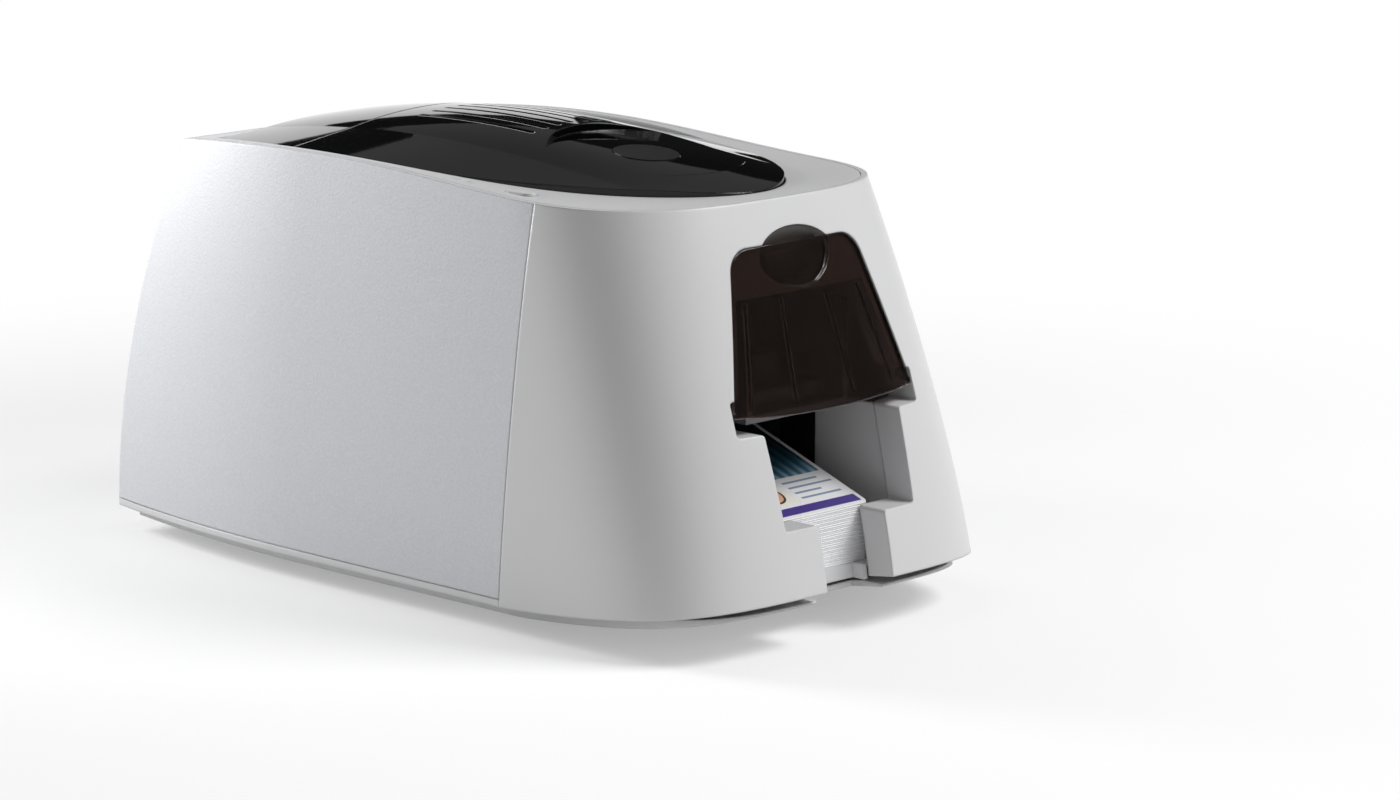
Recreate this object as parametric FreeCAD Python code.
import FreeCAD, Part
import math
import os

# Desktop card printer, front towards -Y, resting on its feet at Z = 0.
# Millimetres. The origin is the middle of the outer box at the underside.

# Overall body, a rounded loaf that leans in towards its top
half_length = 188.3
half_width = 99.0
rim_height = 10.9
crease_height = 179.0
side_lean = 12.0
front_length = 185.5
front_lean = 46.1
front_power = 1.3
rear_lean = 37.0
side_middle = 60.0
nose_start = 94.0
nose_shift = 34.0
wall = 2.5
seam_gap = 0.3
overrun = 20.0
fit_gap = 0.05
face_gap = 0.3
side_power = 1.6
rear_power = 2.0
nose_power_low = 4.4
nose_power_high = 3.0
tail_share = 0.13

# Top crease, the line where the sides turn into the top
crease_top = 185.4
crease_middle = 50.0
crease_front_drop = 6.6
crease_rear_drop = 4.9
crease_front_reach = 155.0
crease_rear_reach = 99.0

# Underside, which rises towards the nose like a boat
rocker_start = 76.0
rocker_reach = 110.0
rocker_rise = 11.9
rocker_power = 1.3
belly_drop = 4.5
belly_inset = 7.0
floor_wall = 2.5
seam_height = 14.3
foot_radius = 8.0
foot_side = 46.0
foot_front = 72.0
foot_rear = 140.0
base_lip = 4.0

# Joint between side panels and front cover
joint_low = 72.7
joint_high = 81.3
joint_bottom_height = 15.8
joint_top_height = 179.0
rear_panel_half = 68.0

# Front window with its two ledges and the finger slot
collar_depth = 14.0
window_radius = 1.6
ledge_high = 89.0
ledge_low = 50.0
ledge_high_outer = 54.3
ledge_high_inner = 40.7
ledge_low_outer = 38.7
slot_half = 20.0
lug_top = 103.4
rebate_lip = 4.0
window_top = 141.0

# Feeder door
door_thickness = 2.4
door_sink = 0.4
door_gap = 0.5
door_bottom = 96.5
door_bow = 2.5
door_top = 161.0
door_bottom_half = 53.4
door_top_half = 36.5
door_radius = 12.0
door_rib = 1.6
door_rib_depth = 1.6
door_pivot_y = 157.5
door_pivot_height = 100.0
door_lug_radius = 2.8
door_lug_width = 2.6
door_lug_reach = 7.0
door_rib_shares = (-0.8, -0.32, 0.32, 0.8)
door_pin_radius = 1.3
thumb_half = 20.0
thumb_drop = 18.0
thumb_depth = 1.1
scoop_height = 156.0
scoop_half = 22.0
scoop_rise = 13.0
scoop_depth = 9.0
scoop_wall = 2.0

# Output bay and its cards
card_length = 85.6
card_width = 54.0
card_thickness = 0.76
bay_half = 41.0
bay_wall = 2.0
bay_tilt = 20.0
bay_front = 164.0
bay_front_height = 26.0
bay_floor_thickness = 3.0
bay_wall_rear = 120.0
bay_rail_rise = 8.0
bay_rail_gap = 0.6
printed_count = 30
card_shift = 0.25
stack_gap = 0.4
bay_leg = 6.0
bay_leg_x = 32.0
bay_leg_y = 112.0
bay_apron_low = 19.5
throat_gap = 1.0
throat_wall = 2.0
throat_rear = 97.0
throat_lintel = 4.0

# Card path and rollers
path_height = 91.5
guide_thickness = 2.0
guide_drop = 1.0
guide_rear = 110.0
guide_front = 64.0
roller_radius = 6.0
roller_sink = 0.3
roller_half = 27.0
feed_half = 20.0
platen_y = 4.0
roller_window = 8.5
shaft_radius = 3.0
bush_radius = 5.0
bush_length = 2.2
pinch_radius = 5.0
pinch_shaft_radius = 2.0
pinch_gap = 0.9

# Chassis plates
plate_inner = 52.0
plate_thickness = 1.5
plate_front = 96.0
plate_rear = 121.0
plate_top = 150.0
plate_radius = 12.0
flange_width = 13.0
tie_radius = 4.0
tie_low = 27.0
tie_high = 138.0
tie_front = 58.0
tie_rear = 113.0
post_radius = 2.0
post_collar = 3.4
post_tip = 1.0

# Drive train
gear_module = 1.0
roller_teeth = 20
idler_teeth = 20
reduction_teeth = 40
pinion_teeth = 16
gear_width = 6.0
gear_gap = 1.2
gear_backlash = 0.16
addendum_share = 0.9
dedendum_share = 1.2
pressure_angle = 20.0
reduction_angle = -35.0
pinion_angle = -25.0
motor_half = 17.5
motor_length = 26.0
motor_shaft_radius = 2.5
motor_chamfer = 4.0
motor_shaft_depth = 14.0

# Hopper for blank cards
hopper_front = 147.0
hopper_rear = 66.0
hopper_floor = 3.0
hopper_wall = 2.4
hopper_top = 134.0
hopper_side_gap = 0.6
hopper_window_half = 22.0
pusher_thickness = 6.0
pusher_gap = 0.5
pusher_grip = 10.0
pusher_grip_height = 12.0
pusher_grip_width = 24.0
slider_thickness = 1.6
slider_width = 40.0
slider_height = 26.0
slider_lift = 1.2
slider_grip = 6.0

# Ribbon cassette
cassette_inner = 46.0
cassette_rail = 4.0
cassette_low = 104.0
cassette_high = 137.0
cassette_lobe = 21.0
cassette_lobe_low = 95.0
cassette_slope = 3.0
cassette_dip = 12.0
cassette_front = 64.5
cassette_rear = 66.0
takeup_y = -50.0
takeup_height = 120.0
supply_y = 48.0
supply_height = 125.0
core_radius = 5.0
core_journal = 3.0
supply_roll = 13.0
takeup_roll = 9.0
ribbon_half = 25.5
film_thickness = 0.3
guide_rod_radius = 2.0
guide_rod_reach = 15.0
guide_rod_height = 98.6
film_gap = 0.3
cross_bar = 4.0
seat_length = 8.0
hub_radius = 5.0
hub_gap = 0.35
hub_shaft_radius = 1.5
hub_shaft_length = 9.0
ribbon_motor_radius = 12.0
ribbon_motor_length = 24.0

# Lid, its hinge and the print head
lid_half = 79.5
lid_nose = 124.0
lid_middle = 44.0
lid_rear = 133.0
lid_rear_half = 70.7
lid_gap = 0.7
lid_skirt = 7.0
lid_edge_drop = 1.4
dome_top = 198.0
dome_middle = 20.0
dome_radius = 555.0
groove_x = 44.0
groove_share = 0.52
dome_half = 80.0
frame_thickness = 10.0
frame_lip = 3.0
frame_step = 7.4
frame_release = 20.0
hinge_y = 60.0
hinge_height = 180.0
hinge_cylinder = 18.6
hinge_gap = 0.6
barrel_radius = 3.6
barrel_inner = 47.0
barrel_outer = 60.0
ear_width = 4.0
ear_gap = 0.3
hinge_pin_radius = 2.0
beam_half = 6.0
beam_low = 156.0
beam_thickness = 4.0
lid_boss_radius = 3.0
lid_boss_places_shares = ((0.69, 0.36), (0.62, -0.32))
liner_inset = 8.0
liner_low = 168.5
liner_thickness = 2.5
liner_rear_gap = 4.0
liner_front = 106.0
vent_count = 7
vent_pitch = 7.7
vent_width = 2.4
vent_front = -15.0
vent_rear = 54.0
dish_y = -60.0
dish_height = 188.3
dish_half = 43.0
dish_reach = 41.0
dish_tilt = 6.0
disc_radius = 14.0
disc_thickness = 2.0
disc_gap = 0.25
disc_proud = 0.4
disc_flange = 1.5
head_half = 30.0
head_front = -7.0
head_rear = 9.0
head_tip = 93.2
head_tip_front = -3.0
head_tip_rear = 4.0
head_tip_rise = 4.0
head_top = 111.0
head_travel = 0.8
fin_count = 6
fin_thickness = 1.0
bracket_wall = 2.0
bracket_gap = 0.3
bracket_cross = 120.0
bracket_low = 101.0
bracket_pin_radius = 1.5
bracket_pin_height = 105.0
bracket_pin_reach = 3.0
head_end = 5.0
spring_radius = 3.2
spring_wire = 0.6
spring_turns = 6
spring_x = 18.0
spring_post = 1.8
snap_y = -98.0
snap_x = 26.0
snap_width = 8.0
snap_thickness = 2.0
snap_length = 12.0

# Control button and lamps on the left shoulder
control_x = -75.0
control_y = -62.0
control_length = 15.0
control_width = 7.0
control_gap = 0.25
control_proud = 0.7
control_flange = 1.2
lamp_x = -77.5
lamp_y = -34.0
lamp_pitch = 8.5
lamp_length = 4.0
lamp_width = 2.2

# Circuit board and sockets
board_x = 64.0
board_thickness = 1.6
board_front = -20.0
board_rear = 172.0
board_low = 26.0
board_high = 104.0
standoff_radius = 3.0
socket_sink = 1.2
usb_width = 12.0
usb_height = 11.0
usb_length = 16.0
usb_z = 34.0
power_radius = 4.0
power_body = 11.0
power_length = 14.0
power_z = 58.0
socket_gap = 0.4
lock_width = 7.0
lock_height = 3.0
lock_x = -46.0
lock_z = 40.0
rear_vent_count = 9
rear_vent_pitch = 8.0
rear_vent_width = 3.0
rear_vent_length = 70.0
rear_vent_low = 96.0
board_chip_shares = ((0.2, 0.3, 9), (0.4, 0.6, 6), (0.62, 0.25, 11), (0.8, 0.65, 5))
screw_radius = 1.5
screw_head_radius = 2.8
screw_head = 1.6

V = FreeCAD.Vector
X = V(1, 0, 0)
Y = V(0, 1, 0)
Z = V(0, 0, 1)
os.makedirs("parts", exist_ok=True)


# Plain solids
def box(low, high):
    size = V(*high) - V(*low)
    return Part.makeBox(size.x, size.y, size.z, V(*low))


def rod(radius, start, end):
    path = V(*end) - V(*start)
    return Part.makeCylinder(radius, path.Length, V(*start), path)


def tube(outer, inner, start, end):
    return rod(outer, start, end).cut(rod(inner, start, end))


def prism(points, depth):
    corners = [V(*point) for point in points]
    return Part.Face(Part.makePolygon(corners + corners[:1])).extrude(depth)


def side_prism(points, half):
    return prism([(-half, y, z) for y, z in points], X * (2 * half))


def joined(shapes):
    return shapes[0].fuse(shapes[1:]).removeSplitter() if len(shapes) > 1 else shapes[0]


def group(shapes):
    return Part.makeCompound(shapes)


def moved(shape, x, y, z):
    copy = shape.copy()
    copy.translate(V(x, y, z))
    return copy


def mirrored(shape):
    return shape.mirror(V(0, 0, 0), X)


def turned(shape, centre, axis, angle):
    copy = shape.copy()
    copy.rotate(V(*centre), axis, angle)
    return copy


# Rounded outlines in a plane, each corner given as (point, radius)
def rounded_wire(corners):
    points = [V(*point) for point, radius in corners]
    edges = []
    starts = []
    for i, (point, radius) in enumerate(corners):
        here = points[i]
        back = (points[i - 1] - here).normalize()
        ahead = (points[(i + 1) % len(points)] - here).normalize()
        half_turn = back.getAngle(ahead) / 2
        reach = radius / math.tan(half_turn)
        first = here + back * reach
        last = here + ahead * reach
        towards = (back + ahead).normalize()
        centre = here + towards * (radius / math.sin(half_turn))
        middle = centre - towards * radius
        starts.append((first, middle, last))
    for i, (first, middle, last) in enumerate(starts):
        edges.append(Part.Arc(first, middle, last).toShape())
        edges.append(Part.makeLine(last, starts[(i + 1) % len(starts)][0]))
    return Part.Wire(edges)


def front_prism(corners, radius, front, rear):
    rounded = [((x, front, z), r if r else radius) for x, z, r in corners]
    return Part.Face(rounded_wire(rounded)).extrude(Y * (rear - front))


# The loaf: plan outlines at several heights, joined by a loft
def height_share(z):
    return max(z - rim_height, 0) / (crease_height - rim_height)


def loaf_half_width(z):
    return half_width - side_lean * height_share(z) ** side_power


def loaf_front(z):
    return -(front_length - front_lean * height_share(z) ** front_power)


def loaf_rear(z):
    return half_length - rear_lean * height_share(z) ** rear_power


def loaf_outline(z, inset):
    share = min(height_share(z), 1)
    wide = loaf_half_width(z) - inset
    front = loaf_front(z) + inset
    rear = loaf_rear(z) - inset
    start = -nose_start + nose_shift * share
    power = nose_power_low + (nose_power_high - nose_power_low) * share
    half = []
    for step_share in (1, 0.75, 0.5, 0.25):
        y = side_middle + (rear - side_middle) * step_share
        half.append((wide * (1 - tail_share * step_share ** 2), y))
    for step_share in (0, 0.5):
        half.append((wide, side_middle + (start - side_middle) * step_share))
    for angle in range(0, 90, 10):
        across = math.cos(math.radians(angle)) ** (2 / power)
        along = math.sin(math.radians(angle)) ** (2 / power)
        half.append((wide * across, start + (front - start) * along))
    points = [V(-x, y, z) for x, y in half] + [V(0, front, z)]
    points += [V(x, y, z) for x, y in reversed(half)]
    curve = Part.BSplineCurve()
    curve.interpolate(points)
    return Part.Wire([curve.toShape(), Part.makeLine(points[-1], points[0])])


loaf_height_shares = (0, 0.12, 0.3, 0.5, 0.7, 0.86, 1.0, 1.15)
loaf_cache = {}


def loaf(inset):
    if inset not in loaf_cache:
        rise = crease_height - rim_height
        heights = [rim_height + rise * share for share in loaf_height_shares]
        wires = [loaf_outline(z, inset) for z in heights]
        upper = Part.makeLoft(wires, True, False)
        lower = Part.Face(loaf_outline(rim_height, inset)).extrude(-Z * rim_height)
        loaf_cache[inset] = upper.fuse(lower)
    return loaf_cache[inset]


def skin(outer_inset, inner_inset, zone):
    return zone.common(loaf(outer_inset)).cut(loaf(inner_inset))


# Curves seen from the side: top crease, rim and belly
def crease(y):
    offset = y - crease_middle
    if offset > 0:
        return crease_top - crease_rear_drop * (offset / crease_rear_reach) ** 2
    swing = math.pi * min(-offset / crease_front_reach, 1)
    return crease_top - crease_front_drop * (1 - math.cos(swing)) / 2


def rim(y):
    past = max(-y - rocker_start, 0)
    return rim_height + rocker_rise * (past / rocker_reach) ** rocker_power


def side_curve(curve, shift, front, rear, steps):
    points = []
    for i in range(steps + 1):
        y = front + (rear - front) * i / steps
        points.append(V(0, y, curve(y) + shift))
    spline = Part.BSplineCurve()
    spline.interpolate(points)
    return spline.toShape(), points[0], points[-1]


def side_block(edge, first, last, level, half):
    low_last = V(0, last.y, level)
    low_first = V(0, first.y, level)
    lines = [Part.makeLine(last, low_last), Part.makeLine(low_last, low_first),
             Part.makeLine(low_first, first)]
    face = Part.Face(Part.Wire([edge] + lines))
    face.translate(V(-half, 0, 0))
    return face.extrude(X * (2 * half))


def below_crease(shift):
    far = half_length + overrun
    edge, first, last = side_curve(crease, shift, -far, far, 12)
    return side_block(edge, first, last, -overrun, half_width + overrun)


def above_rim(shift):
    far = half_length + overrun
    flat, start, first = side_curve(rim, shift, far, -rocker_start, 2)
    edge, first, last = side_curve(rim, shift, -rocker_start, -far, 10)
    top = dome_top + overrun
    lines = [Part.makeLine(start, first), edge, Part.makeLine(last, V(0, last.y, top)),
             Part.makeLine(V(0, last.y, top), V(0, start.y, top)),
             Part.makeLine(V(0, start.y, top), start)]
    face = Part.Face(Part.Wire(lines))
    face.translate(V(-half_width - overrun, 0, 0))
    return face.extrude(X * (2 * (half_width + overrun)))


def joint_y(z):
    slope = (joint_high - joint_low) / (joint_top_height - joint_bottom_height)
    return -(joint_low + slope * (z - joint_bottom_height))


def joint_block(side, shift):
    top = dome_top + overrun
    far = side * (half_length + overrun)
    points = [(joint_y(-overrun) + shift, -overrun), (joint_y(top) + shift, top), (far, top), (far, -overrun)]
    return side_prism(points, half_width + overrun)


# Casing
def make_base_tray():
    wide = half_width + overrun
    strip_box = box((-wide, -rocker_start, rim_height), (wide, half_length + overrun, seam_height - seam_gap))
    strip = loaf(0).common(strip_box).common(joint_block(1, 0))
    lip_box = box((-wide, -half_length, 0), (wide, half_length, seam_height + base_lip))
    tub = loaf(belly_inset).common(above_rim(-belly_drop)).common(lip_box)
    hollow = loaf(belly_inset + wall).common(above_rim(floor_wall - belly_drop))
    tray = tub.fuse(strip).cut(hollow)
    return tray.cut(slot_block(-half_length - overrun, -bay_front + wall + seam_gap))


def floor_level():
    return rim_height - belly_drop + floor_wall


def floor_level_at(y):
    return rim(y) - belly_drop + floor_wall


def above_tray(shape, tray):
    return max(shape.cut(tray).Solids, key=lambda solid: solid.Volume)


def make_feet(tray):
    feet = []
    for y in (-foot_front, foot_rear):
        for side in (-1, 1):
            top = floor_level_at(y) - floor_wall / 2
            foot = rod(foot_radius, (side * foot_side, y, 0), (side * foot_side, y, top))
            feet.append(foot.cut(tray))
    return group(feet)


def make_left_side_panel():
    wide = half_width + overrun
    inner = -rear_panel_half - seam_gap
    region = box((-wide, -half_length, seam_height), (inner, half_length + overrun, dome_top))
    zone = region.common(below_crease(0)).common(joint_block(1, seam_gap))
    return skin(0, wall, zone)


def make_rear_panel():
    far = half_length + overrun
    region = box((-rear_panel_half, 0, seam_height), (rear_panel_half, far, dome_top))
    panel = skin(0, wall, region.common(below_crease(0)))
    front = loaf_rear(crease_top) - overrun
    rear = half_length + overrun
    cuts = []
    for i in range(rear_vent_count):
        z = rear_vent_low + i * rear_vent_pitch
        cuts.append(box((-rear_vent_length / 2, front, z), (rear_vent_length / 2, rear, z + rear_vent_width)))
    cuts.append(usb_block(socket_gap, rear))
    cuts.append(power_block(socket_gap, rear))
    cuts.append(box((lock_x - lock_width / 2, front, lock_z - lock_height / 2),
                    (lock_x + lock_width / 2, rear, lock_z + lock_height / 2)))
    return panel.cut(cuts)


def door_side(z):
    slope = (door_bottom_half - door_top_half) / (door_top - door_bottom)
    return door_bottom_half - slope * (z - door_bottom)


def window_block(outset, front, rear):
    low = -overrun
    high = window_top + outset
    upper = door_side(window_top) - rebate_lip + outset
    lug = door_side(lug_top) - rebate_lip + outset
    outer = ledge_high_outer + outset
    inner_high = ledge_high_inner + outset
    inner_low = ledge_low_outer + outset
    slot = slot_half + outset
    step_high = ledge_high - outset
    step_low = ledge_low - outset
    right = [(upper, high), (lug, lug_top + outset), (outer, lug_top + outset), (outer, step_high),
             (inner_high, step_high), (inner_low, step_low), (slot, step_low), (slot, low)]
    left = [(-x, z) for x, z in reversed(right)]
    return front_prism([(x, z, 0) for x, z in right + left], window_radius, front, rear)


def slot_block(front, rear):
    return box((-slot_half, front, -overrun), (slot_half, rear, ledge_low))


def door_corners(outset):
    bottom = door_bottom - outset
    top = door_top + outset
    low_half = door_bottom_half + outset
    top_half = door_top_half + outset
    return [(low_half, bottom, 0), (top_half, top, door_radius), (-top_half, top, door_radius),
            (-low_half, bottom, 0)]


def scoop_centre():
    return V(0, loaf_front(scoop_height), scoop_height)


def ellipsoid(radius_x, radius_y, radius_z):
    stretch = FreeCAD.Matrix()
    stretch.scale(1, radius_y / radius_x, radius_z / radius_x)
    ball = Part.makeSphere(radius_x).transformGeometry(stretch)
    ball.translate(scoop_centre())
    return ball


def make_front_cover():
    front = -half_length - overrun
    rear = -nose_start
    ahead = joint_block(-1, 0).common(above_rim(0)).common(below_crease(0))
    shell = skin(0, wall, ahead)
    collar = skin(0, collar_depth, window_block(wall, front, rear).common(ahead))
    backing_top = door_top + wall + door_gap
    backing_box = box((-half_width, front, window_top - wall), (half_width, rear, backing_top))
    door_zone = front_prism(door_corners(door_gap + wall), window_radius, front, rear)
    sink = door_sink + door_thickness + door_gap
    backing = skin(wall / 2, sink + wall, door_zone.common(backing_box))
    cup = ellipsoid(scoop_half + scoop_wall, scoop_depth + scoop_wall, scoop_rise + scoop_wall)
    cover = shell.fuse([collar, backing, cup.common(loaf(wall / 2))])
    pocket = front_prism(door_corners(door_gap), window_radius, front, rear).cut(loaf(sink))
    scoop = ellipsoid(scoop_half, scoop_depth, scoop_rise)
    cover = cover.cut([window_block(0, front, rear), pocket, scoop])
    return cover.cut(door_axis_rod(door_pin_radius + fit_gap, door_reach()))


def door_axis_rod(radius, reach):
    return rod(radius, (-reach, -door_pivot_y, door_pivot_height), (reach, -door_pivot_y, door_pivot_height))


def door_reach():
    return ledge_high_outer + wall - fit_gap


def make_door_panel():
    front = -half_length - overrun
    rear = -nose_start
    zone = front_prism(door_corners(0), window_radius, front, rear)
    bow_radius = (door_bottom_half ** 2 + door_bow ** 2) / (2 * door_bow)
    middle = door_bottom - door_bow + bow_radius
    bow = rod(bow_radius, (0, front, middle), (0, rear, middle))
    foot = box((-door_bottom_half, front, door_bottom - door_bow),
               (door_bottom_half, rear, door_bottom + door_bow))
    return skin(door_sink, door_sink + door_thickness, zone.fuse(foot.common(bow)))


def make_door_ribs():
    front = -half_length - overrun
    depth = door_sink + door_thickness
    low_z = door_bottom + door_rib
    high_z = window_top - door_rib
    ribs = []
    for share in door_rib_shares:
        low_x = door_bottom_half * share - door_rib / 2
        high_x = door_side(window_top) * share - door_rib / 2
        corners = [(low_x, low_z), (low_x + door_rib, low_z), (high_x + door_rib, high_z),
                   (high_x, high_z)]
        strip = prism([(x, front, z) for x, z in corners], Y * (-nose_start - front))
        ribs.append(skin(depth - door_rib / 2, depth + door_rib_depth, strip))
    return ribs


def thumb_block():
    disc = Part.makeCylinder(thumb_half, half_length, V(0, 0, 0), -Y)
    squash = FreeCAD.Matrix()
    squash.scale(1, 1, thumb_drop / thumb_half)
    oval = disc.transformGeometry(squash)
    oval.translate(V(0, 0, door_top))
    return oval.cut(loaf(door_sink + thumb_depth))


def make_door_lug(side):
    outer = ledge_high_outer - door_gap
    inner = outer - door_lug_width
    low_x = min(side * inner, side * outer)
    high_x = max(side * inner, side * outer)
    eye = rod(door_lug_radius, (low_x, -door_pivot_y, door_pivot_height),
              (high_x, -door_pivot_y, door_pivot_height))
    arm = box((low_x, -door_pivot_y - door_lug_reach, door_pivot_height - door_lug_radius),
              (high_x, -door_pivot_y, door_pivot_height + door_lug_radius))
    return eye.fuse(arm.common(loaf(door_sink + door_thickness / 2)))


def make_feeder_door():
    door = make_door_panel().fuse(make_door_ribs() + [make_door_lug(-1), make_door_lug(1)])
    return door.cut([door_axis_rod(door_pin_radius + fit_gap, half_width), thumb_block()])


def make_door_pins():
    inner = ledge_high_outer - door_gap - door_lug_width
    right = rod(door_pin_radius, (inner, -door_pivot_y, door_pivot_height),
                (door_reach(), -door_pivot_y, door_pivot_height))
    return group([mirrored(right), right])


# Lid outline in plan, an ellipse at the nose and slow arcs to the rear
def lid_block(outset, low, high):
    wide = lid_half + outset
    reach = lid_nose + lid_middle + outset
    rear_y = lid_rear + outset
    rear_wide = lid_rear_half + outset
    middle_y = (lid_middle + rear_y) / 2
    middle_wide = wide - (wide - rear_wide) / 4
    middle = V(0, lid_middle, low)
    ellipse = Part.Ellipse(V(0, lid_middle - reach, low), V(wide, lid_middle, low), middle)
    nose = Part.ArcOfEllipse(ellipse, -math.pi / 2, math.pi / 2).toShape()
    ends = sorted([vertex.Point for vertex in nose.Vertexes], key=lambda point: point.x)
    left = ends[0]
    right = ends[-1]
    rear_left = V(-rear_wide, rear_y, low)
    rear_right = V(rear_wide, rear_y, low)
    edges = [nose, Part.Arc(right, V(middle_wide, middle_y, low), rear_right).toShape(),
             Part.makeLine(rear_right, rear_left),
             Part.Arc(rear_left, V(-middle_wide, middle_y, low), left).toShape()]
    return Part.Face(Part.Wire(Part.__sortEdges__(edges))).extrude(Z * (high - low))


def dome_crest(y):
    return dome_top - (y - dome_middle) ** 2 / (2 * dome_radius)


def lid_edge(y):
    return crease(y) - lid_edge_drop


def dome_section(y, shift):
    edge = lid_edge(y) + shift
    crest = dome_crest(y) + shift
    groove = edge + (crest - edge) * groove_share
    half = dome_half + overrun
    flank = edge - (groove - edge) * overrun / (dome_half - groove_x)
    low = liner_low - frame_thickness * 2
    a = V(-half, y, low)
    b = V(-half, y, flank)
    c = V(-groove_x, y, groove)
    d = V(groove_x, y, groove)
    e = V(half, y, flank)
    f = V(half, y, low)
    arc = Part.Arc(c, V(0, y, crest), d).toShape()
    return Part.Wire([Part.makeLine(a, b), Part.makeLine(b, c), arc, Part.makeLine(d, e),
                      Part.makeLine(e, f), Part.makeLine(f, a)])


dome_station_shares = (-1.4, -1.05, -0.7, -0.35, 0.0, 0.4, 0.8, 1.2)


def dome(shift):
    stations = [dome_middle + lid_nose * share for share in dome_station_shares]
    return Part.makeLoft([dome_section(y, shift) for y in stations], True, False)


# Finger dish in the lid: a tilted oval pocket with the release button in it
def dish_frame(shape):
    placed = turned(shape, (0, 0, 0), X, dish_tilt)
    placed.translate(V(0, dish_y, dish_height))
    return placed


def dish_block(outset, drop):
    disc = Part.makeCylinder(dish_half + outset, overrun * 2, V(0, 0, -drop))
    squash = FreeCAD.Matrix()
    squash.scale(1, (dish_reach + outset) / (dish_half + outset), 1)
    return dish_frame(disc.transformGeometry(squash))


def hinge_drum(radius):
    return rod(radius, (-half_width, hinge_y, hinge_height), (half_width, hinge_y, hinge_height))


def lid_side(shape):
    ahead = box((-half_width, -half_length, 0), (half_width, hinge_y, dome_top + overrun))
    return shape.common(ahead.fuse(hinge_drum(hinge_cylinder)))


def rear_side(shape):
    behind = box((-half_width, hinge_y, 0), (half_width, half_length, dome_top + overrun))
    return shape.common(behind).cut(hinge_drum(hinge_cylinder + hinge_gap))


def dome_cap(outset, shift):
    low = liner_low - frame_thickness
    return dome(shift).common(lid_block(outset, low, dome_top + overrun))


def skirt_floor():
    edge, first, last = side_curve(crease, -lid_skirt, -half_length, half_length, 12)
    return side_block(edge, first, last, -overrun, half_width)


def lid_cap():
    top = dome_cap(0, 0).cut(dish_block(0, 0))
    inner = dome_cap(-wall, -wall).cut(dish_block(wall, wall))
    return top.cut(inner).cut(skirt_floor())


def vent_slots():
    slots = []
    for i in range(vent_count):
        x = (i - (vent_count - 1) / 2) * vent_pitch
        low = hinge_height
        high = dome_top + overrun
        body = box((x - vent_width / 2, vent_front, low), (x + vent_width / 2, vent_rear, high))
        ends = [rod(vent_width / 2, (x, y, low), (x, y, high)) for y in (vent_front, vent_rear)]
        slots.append(body.fuse(ends))
    return slots


def make_lid_shell():
    shell = lid_side(lid_cap()).cut(vent_slots())
    well = Part.makeCylinder(disc_radius + disc_gap, wall * 4, V(0, 0, -wall * 2))
    return shell.cut(dish_frame(well))


def make_rear_top_cover():
    return rear_side(lid_cap())


def make_finger_disc():
    flange = Part.makeCylinder(disc_radius + disc_flange, disc_thickness, V(0, 0, -wall - disc_thickness))
    cap = Part.makeCylinder(disc_radius, wall + disc_proud, V(0, 0, -wall))
    return dish_frame(cap.fuse(flange))


def oval_block(x, y, length, width, low, high):
    reach = (length - width) / 2
    body = box((x - width / 2, y - reach, low), (x + width / 2, y + reach, high))
    ends = [rod(width / 2, (x, end, low), (x, end, high)) for end in (y - reach, y + reach)]
    return body.fuse(ends)


def lamp_blocks(gap, low_shift, high_shift):
    blocks = []
    for i in range(2):
        y = lamp_y + i * lamp_pitch
        level = crease(y)
        blocks.append(oval_block(lamp_x, y, lamp_length + 2 * gap, lamp_width + 2 * gap,
                                 level + low_shift, level + high_shift))
    return blocks


def make_top_frame():
    high = dome_top + overrun
    slab = loaf(wall + seam_gap).common(below_crease(0)).cut(below_crease(-frame_thickness))
    pocket = loaf(2 * wall + seam_gap).common(below_crease(-wall)).cut(lid_block(lid_gap + wall, 0, high))
    opening = lid_block(lid_gap, 0, high).cut(below_crease(-frame_step))
    release = box((-half_width, hinge_y - frame_release, 0), (half_width, hinge_y + frame_release, high))
    seat = lid_block(-frame_lip, 0, high).fuse(lid_block(lid_gap, 0, high).common(release))
    frame = slab.cut([pocket, opening, seat])
    control = oval_block(control_x, control_y, control_length + 2 * control_gap,
                         control_width + 2 * control_gap, 0, high)
    return frame.cut([control] + lamp_blocks(fit_gap, -frame_thickness, frame_thickness))


def make_control_button():
    top = crease(control_y) + control_proud
    high = crease(control_y - control_length / 2 - control_flange) - wall - face_gap
    low = high - control_flange
    flange = oval_block(control_x, control_y, control_length + 2 * control_flange,
                        control_width + 2 * control_flange, low, high)
    return flange.fuse(oval_block(control_x, control_y, control_length, control_width, low, top))


def make_lamps():
    return group(lamp_blocks(0, -wall, 0))


def liner_arm(side):
    low_x = min(side * (barrel_inner + ear_gap), side * (barrel_outer - ear_gap))
    width = barrel_outer - barrel_inner - 2 * ear_gap
    rear = hinge_y - liner_rear_gap
    front = rear - width
    half = barrel_radius / 2
    points = [(front, liner_low), (rear, liner_low), (hinge_y + half, hinge_height - half),
              (hinge_y - half, hinge_height + half), (front, liner_low + width / 2)]
    web = prism([(low_x, y, z) for y, z in points], X * width)
    barrel = rod(barrel_radius, (low_x, hinge_y, hinge_height), (low_x + width, hinge_y, hinge_height))
    return web.fuse(barrel)


def lid_bosses():
    bosses = []
    for x_share, y_share in lid_boss_places_shares:
        for side in (-1, 1):
            x = side * lid_half * x_share
            y = lid_nose * y_share
            bosses.append(rod(lid_boss_radius, (x, y, liner_low), (x, y, dome_top)))
    return [boss.common(dome(-wall)) for boss in bosses]


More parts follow.
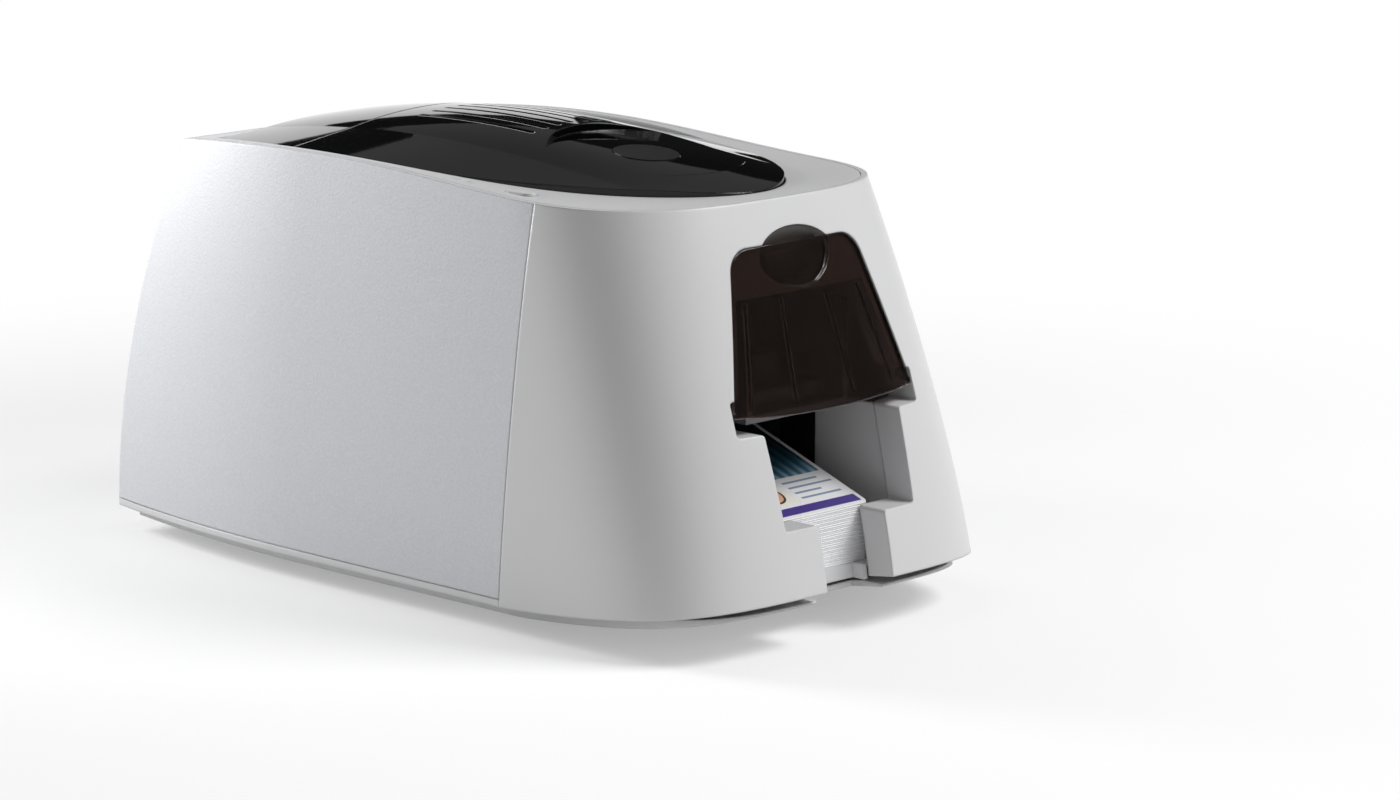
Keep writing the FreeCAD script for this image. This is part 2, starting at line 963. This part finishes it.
def liner_snap(side):
    x = side * snap_x
    low = liner_low - snap_length
    blade = box((x - snap_width / 2, snap_y - snap_thickness, low),
                (x + snap_width / 2, snap_y, liner_low))
    bead = rod(snap_thickness, (x - snap_width / 2, snap_y - snap_thickness, low),
               (x + snap_width / 2, snap_y - snap_thickness, low))
    return blade.fuse(bead)


def make_lid_liner():
    rear = hinge_y - liner_rear_gap
    zone = box((-half_width, -liner_front, liner_low), (half_width, rear, liner_low + liner_thickness))
    plate = lid_block(-liner_inset, 0, dome_top).common(zone)
    pieces = lid_bosses()
    for side in (-1, 1):
        pieces += [liner_arm(side), liner_snap(side)]
    liner = plate.fuse(pieces)
    return liner.cut(hinge_axis_rod(hinge_pin_radius + fit_gap, half_width))


def hinge_axis_rod(radius, reach):
    return rod(radius, (-reach, hinge_y, hinge_height), (reach, hinge_y, hinge_height))


def ear_places():
    inner = barrel_inner - ear_width
    return [side * x for side in (-1, 1) for x in (inner + ear_width / 2, barrel_outer + ear_width / 2)]


def make_hinge_beam():
    wide = plate_inner + plate_thickness
    top = beam_low + beam_thickness
    far = barrel_outer + ear_width
    beam = box((-wide, hinge_y - beam_half, beam_low), (wide, hinge_y + beam_half, top))
    wing = box((-far, hinge_y - beam_half, beam_low), (far, hinge_y + beam_half, top))
    ears = []
    for x in ear_places():
        low_x = x - ear_width / 2
        high_x = x + ear_width / 2
        eye = rod(barrel_radius, (low_x, hinge_y, hinge_height), (high_x, hinge_y, hinge_height))
        ears.append(eye.fuse(box((low_x, hinge_y - barrel_radius, beam_low),
                                 (high_x, hinge_y + barrel_radius, hinge_height))))
    return beam.fuse([wing] + ears).cut(hinge_axis_rod(hinge_pin_radius + fit_gap, half_width))


def make_hinge_pins():
    inner = barrel_inner - ear_width
    outer = barrel_outer + ear_width
    right = rod(hinge_pin_radius, (inner, hinge_y, hinge_height), (outer, hinge_y, hinge_height))
    return group([mirrored(right), right])


# Print head on its bracket under the lid
def bracket_front():
    return platen_y + head_front


def bracket_rear():
    return platen_y + head_rear


def spring_low():
    return head_top + head_travel + fit_gap


def make_head_bracket():
    inner = head_half + bracket_gap
    outer = inner + bracket_wall
    front = bracket_front()
    rear = bracket_rear()
    cheek = box((inner, front, bracket_low), (outer, rear, liner_low))
    cross = box((-outer, front, bracket_cross), (outer, rear, bracket_cross + bracket_wall))
    middle = (front + rear) / 2
    pieces = [cheek, mirrored(cheek), cross]
    for side in (-1, 1):
        pieces.append(rod(bracket_pin_radius, (side * outer, middle, bracket_pin_height),
                          (side * (inner - bracket_pin_reach), middle, bracket_pin_height)))
        pieces.append(rod(spring_post, (side * spring_x, middle, bracket_cross),
                          (side * spring_x, middle, spring_low() + head_travel)))
    return joined(pieces)


def make_print_head():
    front = bracket_front()
    rear = bracket_rear()
    base_low = head_tip + head_tip_rise
    base = box((-head_half, front, base_low), (head_half, rear, base_low + head_tip_rise))
    tip = box((-head_half, platen_y + head_tip_front, head_tip), (head_half, platen_y + head_tip_rear, base_low))
    ends = [box((head_half - head_end, front, base_low), (head_half, rear, head_top)),
            box((-head_half, front, base_low), (head_end - head_half, rear, head_top))]
    fins = []
    pitch = (rear - front - fin_thickness) / (fin_count - 1)
    for i in range(fin_count):
        y = front + i * pitch
        fins.append(box((-head_half, y, base_low), (head_half, y + fin_thickness, head_top)))
    head = joined([base, tip] + ends + fins)
    middle = (front + rear) / 2
    slots = []
    for side in (-1, 1):
        x = side * (head_half - bracket_pin_reach / 2)
        half = bracket_pin_reach / 2 + bracket_gap
        reach = bracket_pin_radius + bracket_gap
        slots.append(box((x - half, middle - reach, bracket_pin_height - reach - head_travel),
                         (x + half, middle + reach, bracket_pin_height + bracket_pin_radius + fit_gap)))
    return head.cut(slots)


def make_head_springs():
    springs = []
    length = bracket_cross - spring_low() - 2 * spring_wire
    for side in (-1, 1):
        helix = Part.makeHelix(length / spring_turns, length, spring_radius)
        start = V(spring_radius, 0, 0)
        climb = length / spring_turns / spring_radius / (2 * math.pi)
        profile = Part.Wire(Part.makeCircle(spring_wire, start, V(0, 1, climb)))
        coil = Part.Wire(helix).makePipeShell([profile], True, True)
        middle = (bracket_front() + bracket_rear()) / 2
        springs.append(moved(coil, side * spring_x, middle, spring_low() + spring_wire))
    return group(springs)


# Gears, drawn in the Y-Z plane and turned about X
def involute(angle):
    return math.tan(angle) - angle


def gear_outline(teeth, phase):
    pitch = gear_module * teeth / 2
    base = pitch * math.cos(math.radians(pressure_angle))
    tip = pitch + addendum_share * gear_module
    root = pitch - dedendum_share * gear_module
    half_tooth = (math.pi * gear_module / 2 - gear_backlash) / (2 * pitch)
    half_tooth += involute(math.radians(pressure_angle))
    low = max(base, root)
    flank = []
    for i in range(4):
        radius = low + (tip - low) * i / 3
        flank.append((radius, half_tooth - involute(math.acos(min(base / radius, 1)))))
    if root < low:
        flank.insert(0, (root, flank[0][1]))
    points = []
    for tooth in range(teeth):
        middle = phase + 2 * math.pi * tooth / teeth
        points += [(radius, middle - half) for radius, half in flank]
        points += [(radius, middle + half) for radius, half in reversed(flank)]
    return [(radius * math.cos(angle), radius * math.sin(angle)) for radius, angle in points]


def gear_inner():
    return -(plate_inner + plate_thickness + gear_gap)


def make_gear(teeth, phase, centre, bore):
    x = gear_inner()
    outline = [(x, centre[0] + y, centre[1] + z) for y, z in gear_outline(teeth, phase)]
    wheel = prism(outline, -X * gear_width)
    if bore:
        wheel = wheel.cut(rod(bore, (x + gear_gap, *centre), (x - gear_width - gear_gap, *centre)))
    return wheel


def mating_phase(teeth, phase, centre, other_teeth, other_centre):
    direction = math.atan2(other_centre[1] - centre[1], other_centre[0] - centre[0])
    radius = gear_module * teeth / 2
    other = gear_module * other_teeth / 2
    half_pitch = math.pi * gear_module / 2
    return direction + math.pi - (radius * (phase - direction) + half_pitch) / other


def roller_height():
    return path_height - roller_sink - roller_radius


def roller_step():
    return gear_module * (roller_teeth + idler_teeth)


def roller_places():
    step = roller_step()
    return {"feed": platen_y - 2 * step, "front": platen_y - step,
            "platen": platen_y, "rear": platen_y + step}


def line_gears():
    height = roller_height()
    step = roller_step() / 2
    places = [platen_y - 4 * step + i * step for i in range(7)]
    gears = []
    phase = 0
    for i, y in enumerate(places):
        teeth = idler_teeth if i % 2 else roller_teeth
        if i:
            before = roller_teeth if i % 2 else idler_teeth
            phase = mating_phase(before, phase, (places[i - 1], height), teeth, (y, height))
        gears.append((teeth, phase, (y, height)))
    return gears


def offset_gear(gear, teeth, angle):
    reach = gear_module * (gear[0] + teeth) / 2
    turn = math.radians(angle)
    centre = (gear[2][0] + reach * math.cos(turn), gear[2][1] + reach * math.sin(turn))
    return teeth, mating_phase(gear[0], gear[1], gear[2], teeth, centre), centre


def reduction_gear():
    return offset_gear(line_gears()[6], reduction_teeth, reduction_angle)


def pinion_gear():
    return offset_gear(reduction_gear(), pinion_teeth, pinion_angle)


def make_shaft_gear(index):
    teeth, phase, centre = line_gears()[index]
    shaft_end = plate_inner + plate_thickness + gear_gap
    wheel = make_gear(teeth, phase, centre, 0)
    shaft = rod(shaft_radius, (gear_inner() - gear_width, *centre), (shaft_end, *centre))
    return wheel.fuse(shaft)


def make_roller_sleeve(y, half):
    height = roller_height()
    return tube(roller_radius, shaft_radius, (-half, y, height), (half, y, height))


def pinch_height():
    return path_height + pinch_gap + pinch_radius


def make_pinch_roller(y):
    height = pinch_height()
    sleeve = rod(pinch_radius, (-roller_half, y, height), (roller_half, y, height))
    reach = plate_inner + plate_thickness
    return sleeve.fuse(rod(pinch_shaft_radius, (-reach, y, height), (reach, y, height)))


def make_idler(index):
    teeth, phase, centre = line_gears()[index]
    return make_gear(teeth, phase, centre, post_radius + fit_gap)


def make_motor_pinion():
    teeth, phase, centre = pinion_gear()
    wheel = make_gear(teeth, phase, centre, 0)
    shaft = rod(motor_shaft_radius, (gear_inner(), *centre), (-plate_inner + motor_shaft_depth, *centre))
    return wheel.fuse(shaft)


def make_drive_motor():
    y, z = pinion_gear()[2]
    half = motor_half
    cut = motor_half - motor_chamfer
    corners = [(half, cut), (cut, half), (-cut, half), (-half, cut),
               (-half, -cut), (-cut, -half), (cut, -half), (half, -cut)]
    body = prism([(-plate_inner, y + a, z + b) for a, b in corners], X * motor_length)
    depth = motor_shaft_depth + fit_gap
    bore = rod(motor_shaft_radius + fit_gap, (-plate_inner - gear_gap, y, z), (depth - plate_inner, y, z))
    return body.cut(bore)


# Chassis
def chassis_plate(side):
    inner = side * plate_inner
    outer = side * (plate_inner + plate_thickness)
    low_x = min(inner, outer)
    high_x = max(inner, outer)
    low = floor_level()
    corners = [(-plate_front, low), (plate_rear, low), (plate_rear, plate_top), (-plate_front, plate_top)]
    radii = [plate_thickness, plate_thickness, plate_radius, plate_radius]
    wire = rounded_wire([((inner, y, z), radius) for (y, z), radius in zip(corners, radii)])
    plate = Part.Face(wire).extrude(X * (outer - inner))
    tab = box((low_x, hinge_y - beam_half, plate_top - plate_radius),
              (high_x, hinge_y + beam_half, beam_low))
    far = side * (plate_inner + flange_width)
    near = side * cassette_inner
    foot = box((min(outer, far), -plate_front + plate_radius, low),
               (max(outer, far), plate_rear - plate_radius, low + plate_thickness))
    seats = []
    for y in (-cassette_front, cassette_rear - seat_length):
        seats.append(box((min(near, inner), y, cassette_low - cross_bar),
                         (max(near, inner), y + seat_length, cassette_low)))
    plate = plate.fuse([tab, foot] + seats)
    holes = []
    for y in roller_places().values():
        holes.append(rod(bush_radius + fit_gap, (near, y, roller_height()), (far, y, roller_height())))
    for name in ("front", "rear"):
        y = roller_places()[name]
        holes.append(rod(pinch_shaft_radius + fit_gap, (near, y, pinch_height()), (far, y, pinch_height())))
    holes += [screw_rod(side, y, screw_radius + fit_gap) for y in screw_places()]
    return plate, holes


def screw_places():
    middle = (plate_rear - plate_front) / 2
    span = (plate_rear + plate_front) / 2 - 2 * plate_radius
    return [middle - span, middle, middle + span]


def screw_rod(side, y, radius):
    x = side * (plate_inner + plate_thickness + (flange_width - plate_thickness) / 2)
    return rod(radius, (x, y, floor_level() - floor_wall), (x, y, floor_level() + plate_thickness))


def make_chassis_left():
    plate, holes = chassis_plate(-1)
    y, z = pinion_gear()[2]
    far = -plate_inner - flange_width
    holes.append(rod(motor_shaft_radius + gear_gap, (-cassette_inner, y, z), (far, y, z)))
    plate = plate.cut(holes)
    outer = -(plate_inner + plate_thickness)
    posts = []
    for teeth, phase, centre in [line_gears()[i] for i in (1, 3, 5)] + [reduction_gear()]:
        posts.append(rod(post_radius, (outer, *centre), (gear_inner() - gear_width - post_tip, *centre)))
        posts.append(rod(post_collar, (outer, *centre), (gear_inner() + face_gap, *centre)))
    return plate.fuse(posts)


def make_chassis_right():
    plate, holes = chassis_plate(1)
    inner = plate_inner - gear_gap
    outer = plate_inner + plate_thickness + gear_gap
    hub_hole = hub_shaft_radius + face_gap
    holes.append(rod(hub_hole, (inner, takeup_y, takeup_height), (outer, takeup_y, takeup_height)))
    plate = plate.cut(holes)
    reach = plate_inner + plate_thickness
    standoffs = []
    for y in (board_front + standoff_radius * 2, plate_rear - standoff_radius * 3):
        for z in (board_low + standoff_radius * 2, board_high - standoff_radius * 2):
            standoffs.append(rod(standoff_radius, (reach, y, z), (board_x, y, z)))
    return plate.fuse(standoffs)


def make_tie_bars():
    places = [(-tie_front, tie_low), (tie_rear, tie_low), (tie_rear, tie_high)]
    bars = [rod(tie_radius, (-plate_inner, y, z), (plate_inner, y, z)) for y, z in places]
    return group(bars)


def make_roller_bushes():
    bushes = []
    z = roller_height()
    for side in (-1, 1):
        for y in roller_places().values():
            start = side * plate_inner
            end = side * (plate_inner + bush_length)
            bushes.append(tube(bush_radius, shaft_radius + fit_gap, (start, y, z), (end, y, z)))
    return group(bushes)


def make_chassis_screws():
    screws = []
    for side in (-1, 1):
        for y in screw_places():
            shank = screw_rod(side, y, screw_radius)
            top = floor_level() + plate_thickness
            x = shank.BoundBox.Center.x
            screws.append(shank.fuse(rod(screw_head_radius, (x, y, top), (x, y, top + screw_head))))
    return group(screws)


def make_card_guide():
    top = path_height - guide_drop
    low = top - guide_thickness
    plate = box((-plate_inner, -guide_front, low), (plate_inner, guide_rear, top))
    windows = []
    for name in ("front", "platen", "rear"):
        y = roller_places()[name]
        windows.append(box((-roller_half - guide_thickness, y - roller_window, low - guide_thickness),
                           (roller_half + guide_thickness, y + roller_window, top + guide_thickness)))
    return plate.cut(windows)


# Hopper for blank cards, behind the smoked door
def hopper_inner():
    return card_width / 2 + hopper_side_gap


def make_hopper_frame():
    inner = hopper_inner()
    outer = inner + hopper_wall
    low = path_height - hopper_floor
    floor = box((-outer, -hopper_front, low), (outer, -hopper_rear, path_height))
    wings = box((-plate_inner, -plate_front, low), (plate_inner, -hopper_rear, path_height))
    walls = [box((inner, -hopper_front, low), (outer, -hopper_rear, hopper_top)),
             box((-outer, -hopper_front, low), (-inner, -hopper_rear, hopper_top))]
    gate = path_height + card_thickness + slider_lift
    back = box((-outer, -hopper_rear - hopper_wall, gate), (outer, -hopper_rear, hopper_top))
    window_y = roller_places()["feed"]
    window = box((-hopper_window_half, window_y - roller_window, low - hopper_floor),
                 (hopper_window_half, window_y + roller_window, path_height + hopper_floor))
    depth = door_sink + door_thickness + door_rib_depth + hopper_wall
    return joined([floor, wings, back] + walls).common(loaf(depth)).cut(window)


def make_card_pusher():
    half = card_width / 2
    low = path_height + pusher_gap
    front = -hopper_front + pusher_grip
    rear = -hopper_rear - hopper_wall - slider_thickness - pusher_gap - fit_gap
    plate = box((-half, front, low), (half, rear, low + pusher_thickness))
    top = low + pusher_thickness
    tall = top + pusher_grip_height
    points = [(front + pusher_grip, top), (front + 2 * pusher_grip, top),
              (front + 2 * pusher_grip, tall), (front + pusher_grip * 1.4, tall)]
    grip = side_prism(points, pusher_grip_width / 2)
    return plate.fuse(grip)


def make_thickness_slider():
    rear = -hopper_rear - hopper_wall - fit_gap
    low = path_height + card_thickness
    front = rear - slider_thickness
    blade = box((-slider_width / 2, front, low), (slider_width / 2, rear, hopper_top - pusher_gap))
    grip = box((-slider_grip, front, hopper_top - slider_height), (slider_grip, rear, hopper_top + slider_grip))
    return blade.fuse(grip)


# Output bay under the hopper
def bay_line(y, lift):
    tilt = math.radians(bay_tilt)
    return bay_front_height + (y + bay_front) * math.tan(tilt) + lift / math.cos(tilt)


def make_card_bay():
    rear = -bay_front + card_length * math.cos(math.radians(bay_tilt)) + stack_gap
    outer = bay_half + bay_wall
    front = -bay_front
    floor_points = [(front, bay_line(front, 0)), (rear, bay_line(rear, 0)),
                    (rear, bay_line(rear, -bay_floor_thickness)), (front, bay_line(front, -bay_floor_thickness))]
    floor = side_prism(floor_points, outer)
    wall_front = -half_length
    top = ledge_high - seam_gap * 2
    wall_rear = -bay_wall_rear
    wall_points = [(wall_front, bay_line(front, 0)), (front, bay_line(front, 0)),
                   (wall_rear, bay_line(wall_rear, 0)), (wall_rear, top), (wall_front, top)]
    right_wall = prism([(bay_half, y, z) for y, z in wall_points], X * bay_wall)
    rail_inner = card_width / 2 + bay_rail_gap
    rail_points = [(front, bay_line(front, 0)), (rear, bay_line(rear, 0)),
                   (rear, bay_line(rear, bay_rail_rise)), (front, bay_line(front, bay_rail_rise))]
    right_rail = prism([(rail_inner, y, z) for y, z in rail_points], X * (bay_half - rail_inner))
    leg_front = -bay_leg_y
    leg_rear = leg_front + bay_leg
    leg_points = [(leg_front, floor_level()), (leg_rear, floor_level()),
                  (leg_rear, bay_line(leg_rear, 0)), (leg_front, bay_line(leg_front, 0))]
    right_leg = prism([(bay_leg_x, y, z) for y, z in leg_points], X * bay_leg)
    apron_half = slot_half - seam_gap
    apron = box((-apron_half, front, bay_apron_low), (apron_half, front + wall, bay_line(front, 0)))
    right_cheek = box((apron_half - wall, wall_front, bay_apron_low), (apron_half, front + wall, bay_line(front, 0)))
    sides = [right_wall, right_rail, right_leg, right_cheek]
    bay = floor.fuse(sides + [mirrored(side) for side in sides] + [apron])
    return bay.common(loaf(collar_depth + seam_gap))


def make_bay_throat():
    inner = bay_half + bay_wall + throat_gap
    outer = inner + throat_wall
    front = -bay_wall_rear + seam_gap
    rear = -throat_rear
    top = path_height - hopper_floor - seam_gap
    right = box((inner, front, floor_level()), (outer, rear, top))
    lintel = box((-outer, front, top - throat_lintel), (outer, front + throat_wall, top))
    return right.fuse([mirrored(right), lintel])


def make_printed_cards():
    tilt = math.radians(bay_tilt)
    cards = []
    for i in range(printed_count):
        start = -bay_front + stack_gap / 2 + card_shift * (i * 7 % 5) / 4
        level = bay_line(start, i * card_thickness)
        length = card_length - card_shift
        along = (math.cos(tilt) * length, math.sin(tilt) * length)
        rise = (-math.sin(tilt) * card_thickness, math.cos(tilt) * card_thickness)
        first = (start, level)
        second = (start + along[0], level + along[1])
        third = (second[0] + rise[0], second[1] + rise[1])
        fourth = (first[0] + rise[0], first[1] + rise[1])
        cards.append(side_prism([first, second, third, fourth], card_width / 2))
    return group(cards)


# Ribbon cassette between the chassis plates
def make_cassette_frame():
    front = -cassette_front
    rear = cassette_rear
    low = cassette_low
    slope = cassette_slope
    lobe_front = platen_y - cassette_lobe
    lobe_rear = platen_y + cassette_lobe
    dip = cassette_low + cassette_dip
    takeup_high = cassette_high - slope
    points = [(front, low), (lobe_front, low), (lobe_front + slope, cassette_lobe_low),
              (lobe_rear - slope, cassette_lobe_low), (lobe_rear, low), (rear, low), (rear, cassette_high),
              (supply_y - supply_roll, cassette_high), (lobe_rear - slope, dip), (lobe_front + slope, dip),
              (takeup_y + supply_roll, takeup_high), (front, takeup_high)]
    right = prism([(cassette_inner, y, z) for y, z in points], X * cassette_rail)
    bars = [box((-cassette_inner, front, low), (cassette_inner, front + cross_bar, low + 2 * cross_bar)),
            box((-cassette_inner, rear - cross_bar, low), (cassette_inner, rear, low + 2 * cross_bar))]
    z = guide_rod_height
    for y in (platen_y - guide_rod_reach, platen_y + guide_rod_reach):
        bars.append(rod(guide_rod_radius, (-cassette_inner, y, z), (cassette_inner, y, z)))
    frame = right.fuse([mirrored(right)] + bars)
    far = cassette_inner + 2 * cassette_rail
    holes = [rod(core_journal + fit_gap, (-far, y, z), (far, y, z)) for y, z in spool_places()]
    return frame.cut(holes)


def spool_places():
    return [(takeup_y, takeup_height), (supply_y, supply_height)]


def make_spool_core(y, z):
    inner = cassette_inner - face_gap
    outer = cassette_inner + cassette_rail - face_gap
    core = rod(core_radius, (-inner, y, z), (inner, y, z))
    return core.fuse(rod(core_journal, (-outer, y, z), (outer, y, z)))


def make_ribbon_roll(y, z, radius):
    return tube(radius, core_radius, (-ribbon_half, y, z), (ribbon_half, y, z))


def lower_tangent(first, second):
    along = math.atan2(second[1] - first[1], second[0] - first[0])
    reach = math.hypot(second[0] - first[0], second[1] - first[1])
    angle = along - math.acos((first[2] - second[2]) / reach)
    across = math.cos(angle)
    above = math.sin(angle)
    return [(y + radius * across, z + radius * above) for y, z, radius in (first, second)]


def make_ribbon_film():
    half = film_thickness / 2
    clear = half + film_gap
    circles = [(takeup_y, takeup_height, takeup_roll + clear),
               (platen_y - guide_rod_reach, guide_rod_height, guide_rod_radius + clear),
               (platen_y + head_tip_front, head_tip, clear),
               (platen_y + head_tip_rear, head_tip, clear),
               (platen_y + guide_rod_reach, guide_rod_height, guide_rod_radius + clear),
               (supply_y, supply_height, supply_roll + clear)]
    centre = []
    for first, second in zip(circles, circles[1:]):
        centre += lower_tangent(first, second)
    upper = [(y, z + half) for y, z in centre]
    lower = [(y, z - half) for y, z in reversed(centre)]
    return side_prism(upper + lower, ribbon_half)


def takeup_rod(radius, start, end):
    return rod(radius, (start, takeup_y, takeup_height), (end, takeup_y, takeup_height))


def make_takeup_hub():
    inner = cassette_inner + cassette_rail + hub_gap
    end = plate_inner + plate_thickness + hub_shaft_length
    return takeup_rod(hub_radius, inner, plate_inner - hub_gap).fuse(takeup_rod(hub_shaft_radius, inner, end))


def make_ribbon_motor():
    start = plate_inner + plate_thickness
    can = takeup_rod(ribbon_motor_radius, start, start + ribbon_motor_length)
    end = start + hub_shaft_length + fit_gap
    return can.cut(takeup_rod(hub_shaft_radius + fit_gap, start - gear_gap, end))


# Circuit board with its two sockets at the rear panel
def usb_block(gap, rear):
    return box((board_x - usb_width - gap, board_rear - usb_length / 2, usb_z - gap),
               (board_x + gap, rear, usb_z + usb_height + gap))


def power_block(gap, rear):
    centre_x = board_x - power_body / 2
    centre_z = power_z + power_body / 2
    return rod(power_radius + gap, (centre_x, board_rear, centre_z), (centre_x, rear, centre_z))


def make_main_board():
    board = box((board_x, board_front, board_low), (board_x + board_thickness, board_rear, board_high))
    chips = []
    face = board_x + board_thickness
    for y_share, z_share, size in board_chip_shares:
        y = board_front + (board_rear - board_front) * y_share
        z = board_low + (board_high - board_low) * z_share
        reach = board_thickness * size
        chips.append(box((face, y, z), (face + board_thickness * 1.5, y + reach, z + reach)))
    return board.fuse(chips)


def make_usb_socket():
    face = loaf_rear(usb_z + usb_height) - socket_sink
    body = usb_block(0, face)
    rim_wall = socket_sink
    mouth = box((board_x - usb_width + rim_wall, board_rear, usb_z + rim_wall),
                (board_x - rim_wall, face + overrun, usb_z + usb_height - rim_wall))
    centre_x = board_x - usb_width / 2
    centre_z = usb_z + usb_height / 2
    tongue = box((centre_x - rim_wall * 2, board_rear, centre_z - rim_wall),
                 (centre_x + rim_wall * 2, face - rim_wall, centre_z + rim_wall))
    return body.cut(mouth).fuse(tongue)


def make_power_socket():
    face = loaf_rear(power_z + power_body) - socket_sink
    centre_x = board_x - power_body / 2
    centre_z = power_z + power_body / 2
    inner_face = loaf_rear(power_z + power_body) - wall * 2
    body = box((board_x - power_body, board_rear - power_length, power_z),
               (board_x, inner_face, power_z + power_body))
    nose = rod(power_radius, (centre_x, board_rear, centre_z), (centre_x, face, centre_z))
    bore_radius = power_radius - socket_sink
    bore = rod(bore_radius, (centre_x, board_rear, centre_z), (centre_x, face + overrun, centre_z))
    back = board_rear - socket_sink
    pin = rod(socket_sink, (centre_x, back, centre_z), (centre_x, face - socket_sink, centre_z))
    return body.fuse(nose).cut(bore).fuse(pin)


def make_all():
    tray = make_base_tray()
    left_panel = make_left_side_panel()
    rollers = roller_places()
    gears = line_gears()
    screw_holes = []
    for y in screw_places():
        screw_holes += [screw_rod(side, y, screw_radius + fit_gap) for side in (-1, 1)]
    nodes = {
        "base_tray": tray.cut(screw_holes),
        "rubber_feet": make_feet(tray),
        "left_side_panel": left_panel,
        "right_side_panel": mirrored(left_panel),
        "front_cover": make_front_cover(),
        "rear_panel": make_rear_panel(),
        "top_frame": make_top_frame(),
        "rear_top_cover": make_rear_top_cover(),
        "indicator_lamps": make_lamps(),
        "control_button": make_control_button(),
        "card_bay": above_tray(make_card_bay(), tray),
        "bay_throat": above_tray(make_bay_throat(), tray),
        "printed_cards": make_printed_cards(),
        "feeder_door": make_feeder_door(),
        "door_pins": make_door_pins(),
        "hopper_frame": make_hopper_frame(),
        "card_pusher": make_card_pusher(),
        "thickness_slider": make_thickness_slider(),
        "chassis_left": above_tray(make_chassis_left(), tray),
        "chassis_right": above_tray(make_chassis_right(), tray),
        "chassis_screws": make_chassis_screws(),
        "tie_bars": make_tie_bars(),
        "card_guide": make_card_guide(),
        "roller_bushes": make_roller_bushes(),
        "drive_motor": make_drive_motor(),
        "motor_pinion": make_motor_pinion(),
        "reduction_gear": make_gear(*reduction_gear(), post_radius + fit_gap),
        "feed_shaft_gear": make_shaft_gear(0),
        "front_shaft_gear": make_shaft_gear(2),
        "platen_shaft_gear": make_shaft_gear(4),
        "rear_shaft_gear": make_shaft_gear(6),
        "feed_roller": make_roller_sleeve(rollers["feed"], feed_half),
        "front_roller": make_roller_sleeve(rollers["front"], roller_half),
        "platen_roller": make_roller_sleeve(rollers["platen"], roller_half),
        "rear_roller": make_roller_sleeve(rollers["rear"], roller_half),
        "feed_idler_gear": make_idler(1),
        "front_idler_gear": make_idler(3),
        "rear_idler_gear": make_idler(5),
        "front_pinch_roller": make_pinch_roller(rollers["front"]),
        "rear_pinch_roller": make_pinch_roller(rollers["rear"]),
        "cassette_frame": make_cassette_frame(),
        "takeup_core": make_spool_core(takeup_y, takeup_height),
        "takeup_ribbon": make_ribbon_roll(takeup_y, takeup_height, takeup_roll),
        "supply_core": make_spool_core(supply_y, supply_height),
        "supply_ribbon": make_ribbon_roll(supply_y, supply_height, supply_roll),
        "ribbon_film": make_ribbon_film(),
        "takeup_hub": make_takeup_hub(),
        "ribbon_motor": make_ribbon_motor(),
        "main_board": make_main_board(),
        "usb_socket": make_usb_socket(),
        "power_socket": make_power_socket(),
        "lid_shell": make_lid_shell(),
        "finger_disc": make_finger_disc(),
        "lid_liner": make_lid_liner(),
        "hinge_beam": make_hinge_beam(),
        "hinge_pins": make_hinge_pins(),
        "head_bracket": make_head_bracket(),
        "print_head": make_print_head(),
        "head_springs": make_head_springs(),
    }
    return nodes


for name, shape in make_all().items():
    print(name, shape.isValid(), len(shape.Solids), round(shape.Volume))
    shape.exportStep("parts/%s.step" % name)
